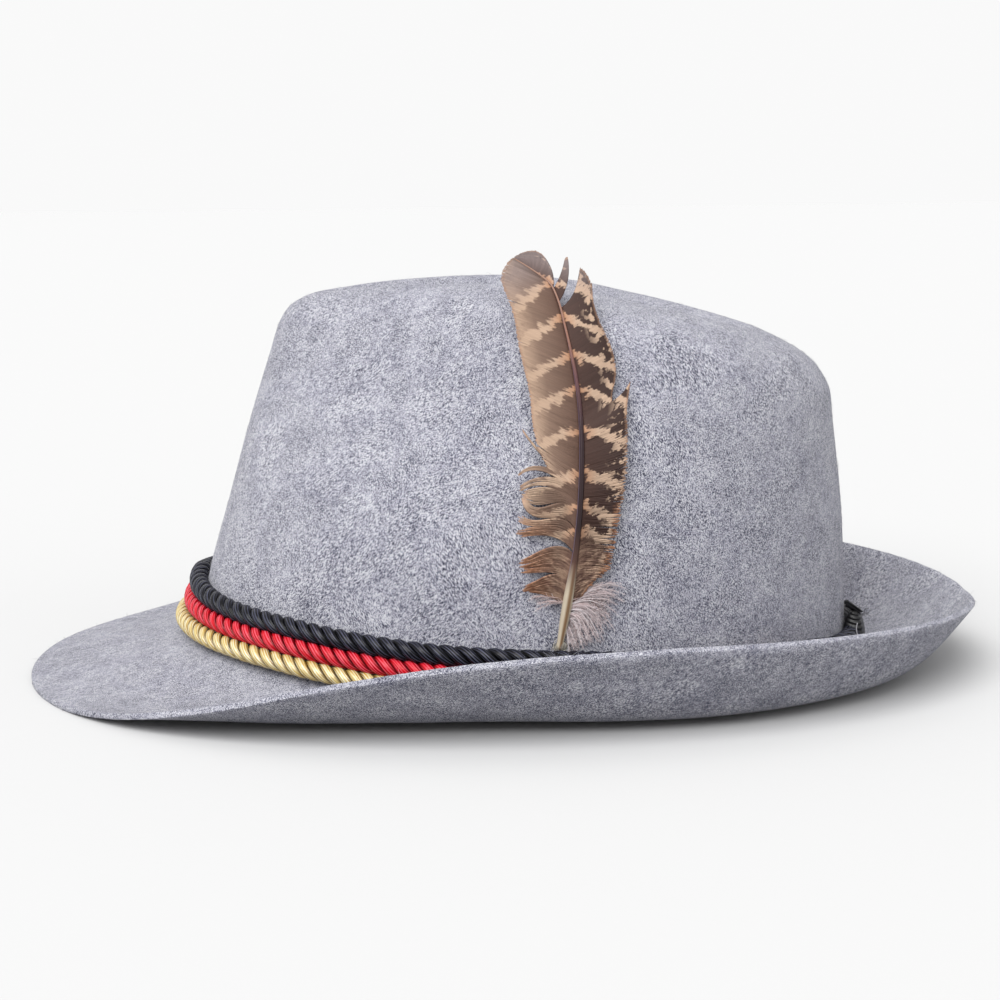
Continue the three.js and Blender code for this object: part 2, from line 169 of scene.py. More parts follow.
DENT = [
    (0.9, 0.8, 0.09),
    (0.79, 0.58, 0.34),
    (0.68, 0.36, 0.68),
    (0.54, 0.17, 0.91),
    (0.3, 0.07, 0.99),
]
BRIM_RINGS = [1.0, 0.93, 0.84, 0.74, 0.63, 0.52, 0.41, 0.29, 0.17]
CROWN_RINGS = [0.1, 0.2, 0.31, 0.43, 0.55, 0.66, 0.75, 0.83, 0.89, 0.93, 0.97, 1.0]


# Form of the felt


def folded(angle):
    """The angle from the back, the same on both sides of the hat."""
    return np.abs((np.asarray(angle, float) + 180) % 360 - 180)


def station(angle, name):
    return STATIONS.read(name, folded(angle))


def foot_height(angle):
    return FLAT_LEVEL + (FRONT_FOOT_HEIGHT - FLAT_LEVEL) * station(angle, "foot_rise")


def crest_height(angle):
    return FLAT_LEVEL + (CROWN_HEIGHT - FLAT_LEVEL) * station(angle, "crest_rise")


def rim_height(angle):
    return FLAT_LEVEL + (BRIM_CURL - FLAT_LEVEL) * station(angle, "rim_rise")


def rise_at(angle, height):
    """The share of the way up the crown at which a height lies."""
    foot = foot_height(angle)
    return np.clip((height - foot) / (crest_height(angle) - foot), 0, 1)


def crown_point(angle, rise):
    """Points on the crown's outer side, rise being the share of the way to the crest."""
    angle, rise = np.broadcast_arrays(np.asarray(angle, float), np.asarray(rise, float))
    cos = np.cos(np.radians(angle))
    sin = np.sin(np.radians(angle))
    along = np.where(cos < 0, CROWN.read("front", rise), CROWN.read("back", rise))
    wide = HALF_WIDTH * CROWN.read("side", rise) * (1 + CROWN.read("taper", rise) * cos)
    offset = (folded(angle) - PINCH_ANGLE) / PINCH_SPREAD
    pinch = PINCH_DEPTH * CROWN.read("pinch", rise) * np.exp(-(offset**2) / 2)
    foot = foot_height(angle)
    height = foot + (crest_height(angle) - foot) * rise
    side = wide * sin - pinch * np.sign(sin) * np.minimum(1, np.abs(sin) * 2)
    return np.stack([CROWN_SET_BACK + HALF_LENGTH * along * cos, side, height], -1)


def rim_point(angle):
    cos = np.cos(np.radians(angle))
    sin = np.sin(np.radians(angle))
    power = np.where(cos < 0, 2 / BRIM_FRONT_BLUNTNESS, 1)
    x = BRIM_LENGTH / 2 * np.sign(cos) * np.abs(cos) ** power
    y = BRIM_WIDTH / 2 * np.sign(sin) * np.abs(sin) ** power
    return np.stack([x, y, np.zeros_like(x)], -1)


def brim_point(angle, reach):
    """Points on the brim's upper side, reach being the share of the way to the rim."""
    softness = 0.2
    bend = station(angle, "bend")

    def bent(at):
        return at - bend + np.hypot(at - bend, softness)

    curl = (bent(reach) - bent(0)) / (bent(1) - bent(0))
    fall = (1 - reach) ** station(angle, "sag")
    share = np.asarray(reach)[..., None]
    point = crown_point(angle, 0.0) * (1 - share) + rim_point(angle) * share
    foot = foot_height(angle) - FLAT_LEVEL
    rim = rim_height(angle) - FLAT_LEVEL
    point[..., 2] = FLAT_LEVEL + foot * fall + rim * curl
    return point


def felt_surface(around, step):
    """Rings of points of the felt's outer side, from the rim to the middle of the dent."""
    angles = 360 * np.arange(around) / around
    reach = np.linalg.norm((rim_point(angles) - crown_point(angles, 0.0))[:, :2], axis=1)
    near_brim = brim_point(angles, FOOT_RADIUS / reach)
    climb = crest_height(angles) - foot_height(angles)
    near_crown = crown_point(angles, FOOT_RADIUS / climb)
    corner = crown_point(angles, 0.0) * 0.4 + (near_brim + near_crown) * 0.3
    crest = crown_point(angles, 1.0)
    floor = CROWN_HEIGHT - DENT_DEPTH
    rings = [brim_point(angles, share) for share in BRIM_RINGS]
    rings += [near_brim, corner, near_crown]
    rings += [crown_point(angles, rise) for rise in CROWN_RINGS]
    for along, across, fall in DENT:
        x = DENT_SET_BACK + (crest[:, 0] - DENT_SET_BACK) * along
        z = crest[:, 2] + (floor - crest[:, 2]) * fall
        rings.append(np.stack([x, crest[:, 1] * across, z], -1))
    rings.append(np.tile([DENT_SET_BACK, 0.0, floor], (around, 1)))
    rings = np.array(rings)
    lengths = np.linalg.norm(np.diff(rings, axis=0), axis=2).mean(axis=1)
    key = np.r_[0, np.cumsum(lengths)]
    middle_left_out = 2.0
    count = int(key[-1] / step)
    return smooth(key, rings, np.linspace(0, key[-1] - middle_left_out, count))


def grid_normals(rings):
    """Unit normals of rings of points, on the felt's outer side."""
    around = np.roll(rings, -1, axis=1) - np.roll(rings, 1, axis=1)
    inwards = np.gradient(rings, axis=0)
    return unit(np.cross(around, inwards))


# Making meshes


def add_piece(name, body, material, nodes):
    """A piece from a body: its points in millimetres, its faces in groups with one count of
    corners each, and either None or a pair of marks for every corner."""
    points, faces, uv = body
    mesh = bpy.data.meshes.new(name)
    sizes = np.concatenate([np.full(len(group), group.shape[1]) for group in faces])
    corners = np.concatenate([group.reshape(-1) for group in faces])
    mesh.vertices.add(len(points))
    mesh.vertices.foreach_set("co", (np.asarray(points) * MM).reshape(-1).astype(np.float32))
    mesh.loops.add(len(corners))
    mesh.loops.foreach_set("vertex_index", corners.astype(np.int32))
    mesh.polygons.add(len(sizes))
    starts = np.r_[0, np.cumsum(sizes)[:-1]]
    mesh.polygons.foreach_set("loop_start", starts.astype(np.int32))
    if uv is not None:
        layer = mesh.uv_layers.new(name="UVMap")
        layer.data.foreach_set("uv", uv.reshape(-1).astype(np.float32))
    mesh.update(calc_edges=True)
    mesh.validate()
    mesh.polygons.foreach_set("use_smooth", [True] * len(mesh.polygons))
    mesh.materials.append(material)
    piece = add_object(name, mesh)
    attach(piece, "root")
    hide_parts(*nodes)


def band_quads(index):
    """Faces between the rows of an array of point numbers, whose ends meet."""
    following = np.roll(index, -1, axis=1)
    corners = [index[:-1], following[:-1], following[1:], index[1:]]
    return np.stack(corners, -1).reshape(-1, 4)


def fan(ring, middle):
    return np.stack([ring, np.roll(ring, -1), np.full(len(ring), middle)], -1)


def add_object(name, data):
    added = bpy.data.objects.new(name, data)
    bpy.context.scene.collection.objects.link(added)
    return added


def unit(vectors):
    return vectors / np.maximum(np.linalg.norm(vectors, axis=-1, keepdims=True), 1e-9)


def quad_corners(here, beside):
    """What the corners of the faces between steps hold, from arrays of strips by steps by
    sides for the points and for those beside them."""
    return np.stack([here[:, 1:], beside[:, 1:], beside[:, :-1], here[:, :-1]], 3)


def sweep(paths, facing, width, thick, sides, marks=None, turn=0.0):
    """Body of closed strips along many paths of equal counts.

    paths is strips by steps by 3 and facing the side that the strips' faces look to. width
    and thick are the section's whole sizes. marks gives two numbers for each step: the
    first goes into u, and v is the second plus the share of the way round the section
    times turn.
    """
    strips, steps = paths.shape[:2]
    tangent = unit(np.gradient(paths, axis=1))
    across = unit(np.cross(tangent, facing))
    normal = np.cross(across, tangent)
    angle = 2 * np.pi * np.arange(sides) / sides
    width = np.broadcast_to(width, (strips, steps))[..., None, None] / 2
    thick = np.broadcast_to(thick, (strips, steps))[..., None, None] / 2
    ring = across[:, :, None] * np.cos(angle)[:, None] * width
    ring = ring + normal[:, :, None] * np.sin(angle)[:, None] * thick
    points = paths[:, :, None] + ring
    index = np.arange(strips * steps * sides).reshape(strips, steps, sides)
    quads = quad_corners(index, np.roll(index, -1, axis=2))
    faces = [quads.reshape(-1, 4), index[:, 0], index[:, -1, ::-1]]
    uv = None
    if marks is not None:
        u = np.broadcast_to(marks[..., None, 0], (strips, steps, sides))
        v = marks[..., None, 1] + turn * np.arange(sides + 1) / sides
        here = np.stack([u, v[..., :-1]], -1)
        beside = np.stack([u, v[..., 1:]], -1)
        corners = [quad_corners(here, beside), here[:, 0], here[:, -1, ::-1]]
        uv = np.concatenate([group.reshape(-1, 2) for group in corners])
    return points.reshape(-1, 3), faces, uv


def join(bodies):
    """One body from several, which all have marks or all have none."""
    points, faces, uvs = zip(*bodies)
    starts = np.cumsum([0] + [len(part) for part in points[:-1]])
    faces = [group + start for groups, start in zip(faces, starts) for group in groups]
    uv = None if uvs[0] is None else np.concatenate(uvs)
    return np.concatenate(points), faces, uv


# Materials


class Finish:
    """A material on Blender's Principled shader and the nodes that feed it."""

    def __init__(self, name, specular=0.5, **values):
        self.material = bpy.data.materials.new(name)
        self.material.use_nodes = True
        self.tree = self.material.node_tree
        self.surface = self.tree.nodes["Principled BSDF"]
        self.surface.inputs["Specular IOR Level"].default_value = specular
        for socket, value in values.items():
            self.surface.inputs[socket.replace("_", " ")].default_value = value
        self.place = self.add("TexCoord").outputs

    def add(self, kind, inputs=None, **settings):
        node = self.tree.nodes.new("ShaderNode" + kind)
        for name, value in settings.items():
            setattr(node, name, value)
        for key, value in (inputs or {}).items():
            if isinstance(value, bpy.types.NodeSocket):
                self.tree.links.new(value, node.inputs[key])
            else:
                node.inputs[key].default_value = value
        return node

    def marks(self):
        """The two marks that the piece's corners carry."""
        return self.add("SeparateXYZ", {0: self.place["UV"]}).outputs[:2]

    def math(self, operation, first, second=0.0, third=0.0):
        inputs = {0: first, 1: second, 2: third}
        return self.add("Math", inputs, operation=operation).outputs[0]

    def times(self, first, second):
        return self.math("MULTIPLY", first, second)

    def scaled(self, value, factor, offset):
        return self.math("MULTIPLY_ADD", value, factor, offset)

    def swing(self, value, middle, width, offset):
        """offset plus width times what value is above middle."""
        return self.scaled(self.math("SUBTRACT", value, middle), width, offset)

    def apart(self, first, second):
        return self.math("ABSOLUTE", self.math("SUBTRACT", first, second))

    def stretched(self, source, scale, rotation=(0, 0, 0)):
        turned = self.add("Mapping", {"Vector": source, "Rotation": rotation})
        inputs = {"Vector": turned.outputs[0], "Scale": scale}
        return self.add("Mapping", inputs).outputs[0]

    def noise(self, source, scale, detail=2.0, roughness=0.5):
        inputs = {"Vector": source, "Scale": scale, "Detail": detail, "Roughness": roughness}
        return self.add("TexNoise", inputs).outputs["Fac"]

    def ramp(self, factor, stops):
        """Colours over a factor. A stop is a place and either 0 to 255 values or a level."""
        node = self.add("ValToRGB", {"Fac": factor})
        elements = node.color_ramp.elements
        while len(elements) < len(stops):
            elements.new(0.5)
        for element, (position, look) in zip(elements, stops):
            element.position = position
            element.color = srgb(*look) if isinstance(look, tuple) else grey(look)
        return node.outputs["Color"]

    def spread(self, value, low, high):
        """value from low to high turned into 0 to 1."""
        inputs = {"Value": value, "From Min": low, "From Max": high}
        return self.add("MapRange", inputs).outputs[0]

    def mix(self, factor, first, second, blend="MIX"):
        inputs = {0: factor, 6: first, 7: second}
        return self.add("Mix", inputs, data_type="RGBA", blend_type=blend).outputs[2]

    def shades(self, value, low, high, first, second):
        """The first 0 to 255 values where value is low, and the second where it is high."""
        return self.mix(self.spread(value, low, high), srgb(*first), srgb(*second))

    def made(self, color, height=None, strength=0.0, distance=0.0):
        """The material with its colour and, where a height is given, its bumps."""
        self.tree.links.new(color, self.surface.inputs["Base Color"])
        if height is not None:
            inputs = {"Height": height, "Strength": strength, "Distance": distance}
            bump = self.add("Bump", inputs).outputs[0]
            self.tree.links.new(bump, self.surface.inputs["Normal"])
        return self.material


def srgb(red, green, blue):
    """Linear colour of a surface that shows these values in the studio's light. White is
    255, and a thin strand that has to look white in shade may go past it."""
    share = np.array([red, green, blue]) / 255
    linear = np.where(share <= 0.04045, share / 12.92, ((share + 0.055) / 1.055) ** 2.4)
    return (*(linear / STUDIO_LIGHT).tolist(), 1.0)


def grey(level):
    return (level, level, level, 1.0)


def felt_finish():
    """Light and dark wool fibres pressed together, in short streaks that change direction,
    with painted shade on faces that look down.
    """
    finish = Finish("marled_felt", 0.2, Roughness=0.92, Sheen_Weight=0.12, Sheen_Roughness=0.6)
    place = finish.place["Object"]
    drift = finish.noise(place, 55.0, 1.0)
    long_way = (1.0, 1.0, 0.28)
    grain_scale = 4300.0
    up = finish.stretched(place, long_way, (0.2, 0.5, 0.0))
    down = finish.stretched(place, long_way, (-0.3, -0.75, 0.4))
    first = finish.noise(up, grain_scale, 2.0, 0.7)
    second = finish.noise(down, grain_scale, 2.0, 0.7)
    which = finish.spread(drift, 0.42, 0.58)
    grain = finish.add("Mix", {0: which, 2: first, 3: second}, data_type="FLOAT").outputs[0]
    tufts = finish.noise(place, 620.0)
    clouds = finish.noise(place, 110.0)
    tone = finish.scaled(tufts, 0.14, grain)
    tone = finish.scaled(clouds, 0.1, tone)
    tone = finish.spread(tone, 0.49, 0.74)
    stops = [
        (0.0, (44, 47, 70)),
        (0.28, (114, 115, 137)),
        (0.5, (184, 184, 199)),
        (0.72, (230, 230, 242)),
        (1.0, (256, 256, 262)),
    ]
    color = finish.ramp(tone, stops)
    # Painted shade: faces that look down are darkened toward dark blue, the dark grains most.
    facing = finish.add("SeparateXYZ", {0: finish.place["Normal"]}).outputs[2]
    painted_underside_shade = finish.spread(facing, 0.05, -0.4)
    shadow = finish.scaled(tone, -0.8, 0.76)
    color = finish.mix(finish.times(painted_underside_shade, shadow), color, srgb(30, 36, 76))
    return finish.made(color, tone, 0.5, 0.0004)


WOOL_TONES = [
    (0.0, (92, 94, 108)),
    (0.35, (150, 151, 163)),
    (0.6, (212, 212, 222)),
    (1.0, (250, 250, 253)),
]
DOWN_TONES = [
    (0.0, (124, 74, 62)),
    (0.2, (232, 202, 198)),
    (0.6, (284, 262, 264)),
    (1.0, (304, 296, 298)),
]


def strand_finish(name, tones, sheen):
    """Single fibres or strands, whose first mark picks a tone."""
    finish = Finish(name, Roughness=0.8, Sheen_Weight=sheen)
    return finish.made(finish.ramp(finish.marks()[0], tones))


def satin_finish(name, shade, middle, light, gloss, metal):
    """Fine shiny filaments along each ply, with painted shade where plies meet and a painted
    highlight on their backs. u runs along the ply in centimetres and v round it, a quarter
    being its outer side."""
    twist = -0.3
    filaments = 12
    finish = Finish(name, gloss, Roughness=0.26, Metallic=metal)
    along, around = finish.marks()
    lean = finish.scaled(along, twist, around)
    streak_place = finish.add("CombineXYZ", {0: along, 1: lean}).outputs[0]
    streaks = finish.noise(finish.stretched(streak_place, (1.0, 15.0, 1.0)), 1.4, 3.0, 0.6)
    waves = finish.math("SINE", finish.times(lean, 2 * np.pi * filaments))
    tone = finish.scaled(waves, 0.13, streaks)
    outward = finish.math("SINE", finish.times(around, 2 * np.pi))
    # Painted highlight: the ply's outer side is lightened.
    tone = finish.scaled(outward, 0.14, tone)
    color = finish.ramp(tone, [(0.36, shade), (0.58, middle), (0.82, light)])
    # Painted shade: where plies meet, the colour is darkened toward a third of the shade tone.
    painted_groove_shade = finish.spread(outward, 0.72, 0.1)
    dark = srgb(*(0.3 * value for value in shade))
    color = finish.mix(finish.times(painted_groove_shade, 0.9), color, dark)
    return finish.made(color, tone, 0.6, 0.0003)


# Rows of the photograph where the middles of the feather's pale bars meet the shaft.
BARS = [279, 316, 353, 388, 428, 472, 505, 529]
BAR_FADE = 10.5
PATTERN_TOP = 240
PATTERN_SPAN = 400


def bar_stops():
    """Stops of a ramp that rises to 1 at the middle of each pale bar."""
    stops = []
    for middle in BARS:
        for offset, level in ((-BAR_FADE, 0.0), (0, 1.0), (BAR_FADE, 0.0)):
            stops.append(((middle + offset - PATTERN_TOP) / PATTERN_SPAN, level))
    return stops


def vane_finish():
    """Barred game-bird vane. u is the place in the bars' pattern, in hundreds of pixels, and
    v the share of the way out, negative on the front web, which is paler than the back one.
    Over each pair of rows below, one of the vane's tones comes in."""
    finish = Finish("barred_vane", 0.25, Roughness=0.55)
    tip_rows = (2.85, 2.5)
    mottled_rows = (5.25, 5.6)
    burnt_rows = (4.7, 5.1)
    orange_rows = (4.9, 5.2)
    pattern, side = finish.marks()
    out = finish.math("ABSOLUTE", side)
    front = finish.math("LESS_THAN", side, 0.0)
    back = finish.math("SUBTRACT", 1.0, front)
    slope = finish.scaled(front, 0.15, 0.35)
    root = finish.scaled(out, slope, pattern)
    web = finish.times(front, 7.0)

    def patches(along, across, detail):
        place = {0: finish.times(root, along), 1: finish.times(out, across), 2: web}
        return finish.noise(finish.add("CombineXYZ", place).outputs[0], 1.0, detail, 0.55)

    fine = patches(95.0, 1.2, 1.0)
    streak = patches(44.0, 2.6, 1.0)
    blotch = patches(12.0, 4.4, 2.0)
    wobble = finish.swing(streak, 0.5, 0.13, pattern)
    wobble = finish.swing(blotch, 0.5, 0.2, wobble)
    place = finish.scaled(wobble, 100 / PATTERN_SPAN, -PATTERN_TOP / PATTERN_SPAN)
    bars = finish.ramp(place, bar_stops())
    width = finish.times(finish.spread(out, 0.1, 0.8), front)
    limit = finish.scaled(front, 0.07, 0.59)
    limit = finish.scaled(width, -0.26, limit)
    soft = finish.scaled(width, 0.12, 0.1)
    low = finish.math("SUBTRACT", limit, soft)
    high = finish.math("ADD", limit, soft)
    bars = finish.spread(bars, low, high)
    spotted = finish.times(finish.spread(out, 0.5, 0.8), back)
    spots = finish.times(finish.spread(blotch, 0.53, 0.57), spotted)
    pale_edge = finish.times(finish.spread(out, 0.6, 1.0), front)
    pale_edge = finish.times(pale_edge, finish.spread(blotch, 0.2, 0.5))
    light = finish.math("MAXIMUM", finish.math("MAXIMUM", bars, spots), pale_edge)
    dark_back = finish.shades(out, 0.0, 0.8, (92, 62, 52), (70, 44, 36))
    dark_front = finish.shades(out, 0.0, 0.6, (112, 80, 66), (160, 130, 112))
    dark = finish.mix(front, dark_back, dark_front)
    pale = finish.shades(out, 0.0, 0.35, (222, 162, 122), (232, 198, 170))
    color = finish.mix(light, dark, pale)
    tip = finish.times(finish.spread(pattern, *tip_rows), 0.6)
    color = finish.mix(tip, color, srgb(184, 166, 164))
    mixed = finish.swing(blotch, 0.5, 1.4, streak)
    stops = [(0.3, (138, 104, 90)), (0.5, (184, 146, 124)), (0.68, (222, 184, 156))]
    mottled = finish.times(finish.spread(pattern, *mottled_rows), 0.85)
    color = finish.mix(mottled, color, finish.ramp(mixed, stops))
    burnt = finish.times(finish.spread(out, 0.8, 0.95), back)
    burnt = finish.times(burnt, finish.spread(pattern, *burnt_rows))
    rust = finish.shades(streak, 0.4, 0.55, (92, 56, 42), (196, 132, 92))
    color = finish.mix(burnt, color, rust)
    ends = finish.times(finish.spread(out, 0.35, 0.9), front)
    ends = finish.times(ends, finish.spread(pattern, *orange_rows))
    orange = finish.shades(streak, 0.4, 0.6, (176, 116, 84), (226, 160, 120))
    color = finish.mix(finish.times(ends, 0.8), color, orange)
    rim = finish.times(finish.spread(out, 0.93, 0.99), 0.6)
    color = finish.mix(rim, color, srgb(214, 168, 138))
    lines = finish.mix(finish.spread(fine, 0.25, 0.75), grey(0.78), grey(1.0))
    return finish.made(finish.mix(1.0, color, lines, "MULTIPLY"), fine, 0.12, 0.0002)


def shaft_finish():
    """Dark glossy shaft with a painted highlight along its front edge, turning to pale horn at
    the quill, which has a brown core. u is the place in hundreds of pixels, v the share of the
    way round."""
    finish = Finish("horn_shaft", 0.3, Roughness=0.35)
    height, turn = finish.marks()
    core_side = 0.2
    highlight_side = 0.46
    core = finish.spread(finish.apart(turn, core_side), 0.1, 0.03)
    pale = finish.mix(core, srgb(240, 224, 198), srgb(160, 126, 92))
    # Painted highlight: a lavender-grey line along the shaft's front edge.
    edge = finish.spread(finish.apart(turn, highlight_side), 0.09, 0.04)
    stops = [
        (0.05, (196, 154, 132)),
        (0.24, (178, 126, 106)),
        (0.34, (120, 78, 80)),
        (0.47, (54, 26, 34)),
        (0.72, (46, 22, 25)),
        (0.83, (112, 76, 62)),
    ]
    upper = finish.ramp(finish.scaled(height, 0.25, -0.6), stops)
    upper = finish.mix(finish.times(edge, 0.55), upper, srgb(164, 148, 172))
    color = finish.mix(finish.spread(height, 5.62, 5.95), upper, pale)
    place = finish.stretched(finish.place["Object"], (1, 1, 0.15))
    flecks = finish.noise(place, 900.0)
    tint = finish.mix(flecks, grey(0.75), grey(1.0))
    return finish.made(finish.mix(1.0, color, tint, "MULTIPLY"), flecks, 0.15, 0.0002)


def glue_finish():
    finish = Finish("clear_glue", Roughness=0.12, Transmission_Weight=0.85, IOR=1.45)
    amber = (0.7, 0.64, 0.52, 1.0)
    clear = (0.93, 0.9, 0.83, 1.0)
    lumps = finish.noise(finish.place["Object"], 900.0)
    return finish.made(finish.mix(lumps, amber, clear), lumps, 0.3, 0.0003)


def ribbon_finish():
    """Black ribbed ribbon with a fine weave across its ribs."""
    finish = Finish("ribbed_ribbon", 0.4, Roughness=0.42)
    place = finish.place["Object"]
    threads = finish.noise(finish.stretched(place, (1.0, 0.3, 1.0)), 3200.0)
    stops = [(0.35, (5, 5, 7)), (0.55, (12, 12, 15)), (0.75, (28, 28, 33))]
    return finish.made(finish.ramp(threads, stops), threads, 0.2, 0.0002)


def thread_finish():
    finish = Finish("pale_thread", Roughness=0.7)
    fuzz = finish.noise(finish.place["Object"], 4000.0, 1.0)
    return finish.made(finish.mix(fuzz, srgb(176, 174, 182), srgb(238, 236, 240)))


# Felt pieces


def make_felt(material):
    """Crown and brim as one sheet, open below, with a rough cut rim."""
    around = 320
    step = 1.55
    rim_rings = 4
    rim_bulge = 0.12
    raggedness = 0.09
    outer = felt_surface(around, step)
    normals = grid_normals(outer)
    inner_rows = np.unique(np.r_[0 : len(outer) : 2, len(outer) - 1])
    inner = outer[inner_rows] - normals[inner_rows] * FELT_THICKNESS
    inner[..., 2] = np.maximum(inner[..., 2], 0)
    turn = np.linspace(0, np.pi, rim_rings + 2)[1:-1, None, None]
    middle = (outer[0] + inner[0]) / 2
    half = (outer[0] - inner[0]) / 2
    bulge = rim_bulge * np.sin(turn) + rng.normal(0, raggedness, (rim_rings, around, 1))
    edge = middle + half * np.cos(turn) + unit(outer[0] - outer[1]) * bulge
    edge[..., 2] = np.maximum(edge[..., 2], 0)
    rings = np.concatenate([inner[::-1], edge[::-1], outer])
    index = np.arange(len(rings) * around).reshape(-1, around)
    points = [rings.reshape(-1, 3), inner[-1:].mean(axis=1), outer[-1:].mean(axis=1)]
    faces = [band_quads(index), fan(index[0], index.size)[:, ::-1]]
    faces.append(fan(index[-1], index.size + 1))
    body = (np.concatenate(points), faces, None)
    add_piece("felt", body, material, ["felt_body"])
    return outer, normals


def make_fuzz(outer, normals, material):
    """Loose fibres that stand off the felt, and a denser row of them along the cut rim."""
    on_face = 8000
    on_rim = 1500
    steps = 4
    cell = np.linalg.norm(outer[1:] - outer[:-1], axis=2)
    cell = cell * np.linalg.norm(outer - np.roll(outer, -1, axis=1), axis=2)[:-1]
    chosen = rng.choice(cell.size, on_face, p=(cell / cell.sum()).reshape(-1))
    row, column = np.unravel_index(chosen, cell.shape)
    share = rng.random((on_face, 1))
    turn = rng.random((on_face, 1))
    beside = (column + 1) % outer.shape[1]
    start = outer[row, column] * (1 - share) + outer[row + 1, column] * share
    start = start * (1 - turn) + outer[row, beside] * turn
    rim_column = rng.integers(0, outer.shape[1], on_rim)
    level = rng.random((on_rim, 1)) * FELT_THICKNESS
    rim_start = outer[0, rim_column] - normals[0, rim_column] * level
    start = np.concatenate([start, rim_start])
    normal = np.concatenate([normals[row, column], unit(outer[0] - outer[1])[rim_column]])
    heading = unit(np.cross(normal, unit(rng.normal(size=(len(start), 3)))))
    bend = unit(np.cross(normal, heading)) * rng.normal(0, 0.35, (len(start), 1))
    length = rng.uniform(1.2, 3.6, (len(start), 1))
    length[on_face:] *= 0.45
    lift = np.abs(rng.normal(0, 0.2, (len(start), 1))) + 0.03
    lift[on_face:] *= 0.6
    share = np.linspace(0, 1, steps)[None, :, None]
    paths = start[:, None] + heading[:, None] * share * length[:, None]
    paths = paths + bend[:, None] * share**2 * length[:, None]
    rise = -0.06 + lift[:, None] * np.sin(share * np.pi * 0.8)
    paths = paths + normal[:, None] * rise
    paths[..., 2] = np.maximum(paths[..., 2], 0.03)
    marks = np.broadcast_to(rng.random((len(start), 1, 1)), (len(start), steps, 2))
    width = np.linspace(0.075, 0.03, steps)
    body = sweep(paths, normal[:, None], width, width, 3, marks)
    add_piece("felt_fuzz", body, material, ["felt_body"])


# Cords


def beside_crown(angle, height, out):
    """Points clear of the crown by out, at the given height."""

    def wall(turn):
        return crown_point(turn, rise_at(turn, height))

    tangent = wall(angle + 1) - wall(angle - 1)
    tangent[..., 2] = 0
    tangent = unit(tangent)
    point = wall(angle)
    x = point[..., 0] + tangent[..., 1] * out
    y = point[..., 1] - tangent[..., 0] * out
    return np.stack([x, y, np.broadcast_to(height, x.shape)], -1)


# Name, pitch and diameter of each cord from the lowest up, then its satin's tones from dark
# to light, its gloss and its share of metal.
# The light tones stand in part for a painted highlight; satin_finish darkens the dark one for
# painted shade where plies meet.
CORDS = [
    ("gold", 13.6, 5.8, (198, 142, 42), (254, 220, 124), (276, 270, 232), 0.9, 0.08),
    ("red", 13.6, 5.9, (160, 0, 14), (246, 2, 28), (272, 110, 132), 0.2, 0.0),
    ("black", 14.2, 6.2, (2, 2, 5), (9, 9, 16), (84, 86, 106), 0.2, 0.0),
]


def cord_point(angle, place):
    """Middle of a cord; the cords are stacked up the crown and place 0 is the lowest."""
    touching = CORD_DIAMETER + TRIM_CLEARANCE
    outs = []
    for name, *_ in CORDS:
        outs.append(CORD_DIAMETER * np.maximum(0, CORD_LAY.read(name, folded(angle))))
    lift = CORD_DIAMETER * CORD_LAY.read("lift", folded(angle))
    height = foot_height(angle) + CORD_DIAMETER / 2 + TRIM_CLEARANCE + lift
    for i in range(1, place + 1):
        rise = np.sqrt(touching**2 - (outs[i - 1] - outs[i]) ** 2)
        height = height + rise * CORD_LAY.read("gather", folded(angle))
    return beside_crown(angle, height, CORD_DIAMETER / 2 + TRIM_CLEARANCE + outs[place])


def even_steps(path, step):
    """The same path with points one step apart."""
    lengths = np.linalg.norm(np.diff(path, axis=0), axis=1)
    key = np.r_[0, np.cumsum(lengths)]
    at = np.linspace(0, key[-1], int(key[-1] / step) + 1)
    return np.stack([np.interp(at, key, path[:, axis]) for axis in range(3)], -1), at


def make_cord(place, name, pitch, diameter, material):
    """A cord of three plies. A ply's middle runs round the cord's own once in each pitch."""
    plies = 3
    sides = 14
    ply_share = 0.48
    flattening = 1.1
    steps_per_pitch = 20
    inside = 4  # degrees of each end that the wrap covers
    turns = np.linspace(BINDING_FAR_END - inside, 360 - BINDING_NEAR_END + inside, 900)
    route = cord_point(turns, place)
    middle, at = even_steps(route, pitch / steps_per_pitch)
    tangent = unit(np.gradient(middle, axis=0))
    out = unit(np.cross(tangent, UPRIGHT))
    up = np.cross(out, tangent)
    ply = diameter * ply_share
    turn = -2 * np.pi * (at / pitch + np.arange(plies)[:, None] / plies)[..., None]
    away = out * np.cos(turn) + up * np.sin(turn)
    paths = middle + away * (diameter - ply) / 2
    lengths = np.linalg.norm(np.diff(paths, axis=1), axis=2)
    along = np.concatenate([np.zeros((plies, 1)), np.cumsum(lengths, axis=1)], axis=1)
    marks = np.stack([along / 10, np.zeros_like(along)], -1)
    long_wave = 7.3
    short_wave = 2.9
    uneven = 1 + 0.02 * np.sin(at / long_wave + place) + 0.015 * np.sin(at / short_wave)
    width = ply * flattening * uneven
    body = sweep(paths, away, width, ply * uneven, sides, marks, 1.0)
    add_piece(f"{name}_cord", body, material, [f"cord_{name}"])


# Feather


def in_view(u, v, out):
    """Points at pixels of the photograph that stand out from the middle plane by out."""
    sin = np.sin(CAMERA_ELEVATION)
    cos = np.cos(CAMERA_ELEVATION)
    across = (u - PHOTO_SIZE / 2) / FOCAL
    above = (PHOTO_SIZE / 2 - v) / FOCAL
    up = (above * (CAMERA_DISTANCE - out * cos) + out * sin) / (cos + above * sin)
    along = across * (CAMERA_DISTANCE - out * cos - up * sin)
    x = along * np.cos(CAMERA_TILT) + up * np.sin(CAMERA_TILT)
    z = CAMERA_AIM + up * np.cos(CAMERA_TILT) - along * np.sin(CAMERA_TILT)
    return np.stack(np.broadcast_arrays(x, -out, z), -1)


